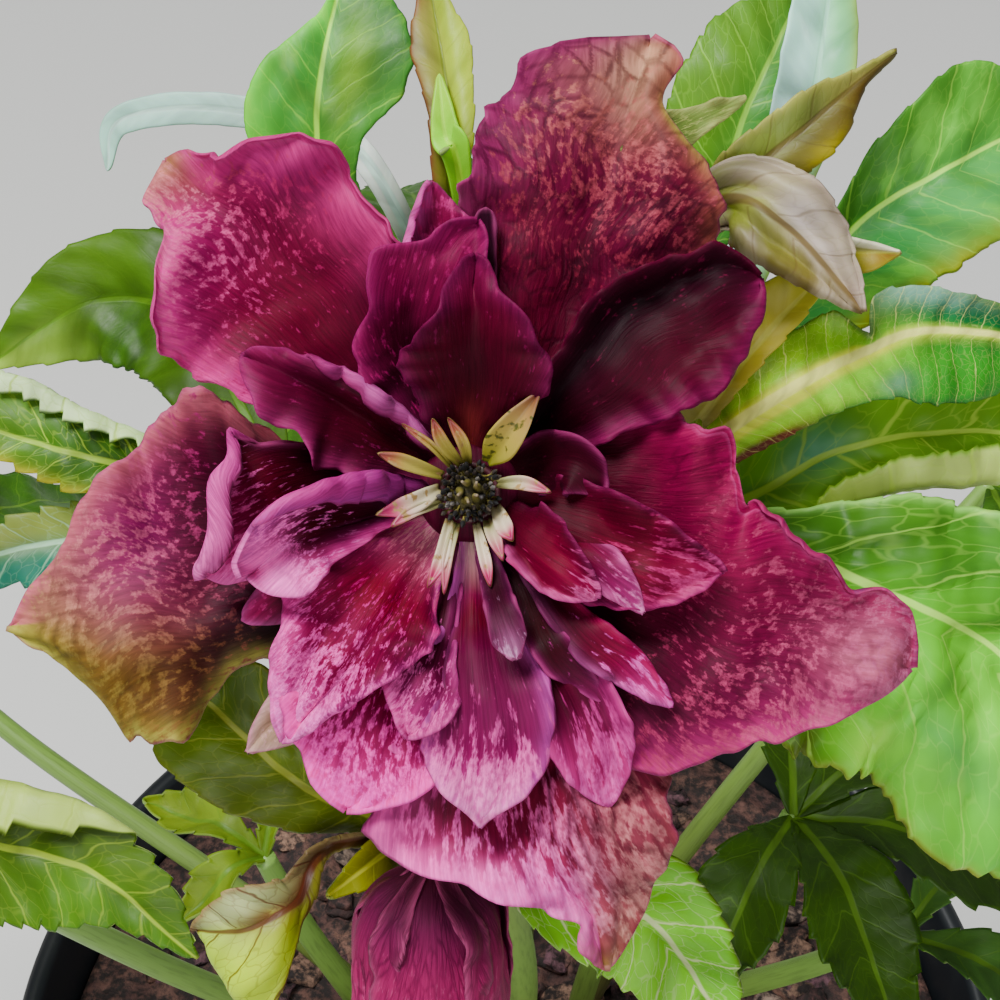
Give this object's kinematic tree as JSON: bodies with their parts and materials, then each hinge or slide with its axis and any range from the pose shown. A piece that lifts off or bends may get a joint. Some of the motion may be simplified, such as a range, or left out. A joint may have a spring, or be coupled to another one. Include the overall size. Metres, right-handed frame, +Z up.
{
  "type": "potted hellebore plant",
  "caption": "Hellebore plant in a round nursery pot: one open double bloom facing up and forward, a nodding bud and toothed pedate leaves on long stalks.",
  "frame": {"origin": "centre of the pot's underside, on the surface it stands on", "axes": "+Z up, the bloom faces -Y and up, +X to the bloom's right as it is looked at"},
  "size_m": [0.3358, 0.3095, 0.4395],
  "materials": {
    "pot_plastic": "moulded, slightly glossy black polypropylene",
    "bark_compost": "moist purple-brown bark chips",
    "stem": "smooth fleshy green stalk",
    "bract": "leathery khaki bract with a purple flush",
    "leaf_blade": "leathery waxy green leaf with pale raised veins",
    "petal": "satin wine-red sepal with a dark vein net and pink margin",
    "nectary": "waxy cream nectary",
    "carpel": "dark dry carpels and stamen stubs",
    "bud_sepal": "satin plum sepal with dark veins"
  },
  "bodies": {
    "root": {"pot": "pot_plastic", "soil": "bark_compost", "flower_stem": "stem", "bract_khaki": "bract", "leaf_right": "leaf_blade", "leaf_top": "leaf_blade", "leaf_left": "leaf_blade", "leaf_lower_left": "leaf_blade", "leaf_deep_right": "leaf_blade", "leaf_low_right": "leaf_blade", "leaf_young": "leaf_blade", "leaf_back_left": "leaf_blade", "leaf_back": "leaf_blade", "leaf_back_right": "leaf_blade", "leaf_front": "leaf_blade", "bloom_petals": "petal", "bloom_nectaries": "nectary", "bloom_centre": "carpel", "bud": "bud_sepal"}
  },
  "joints": []
}
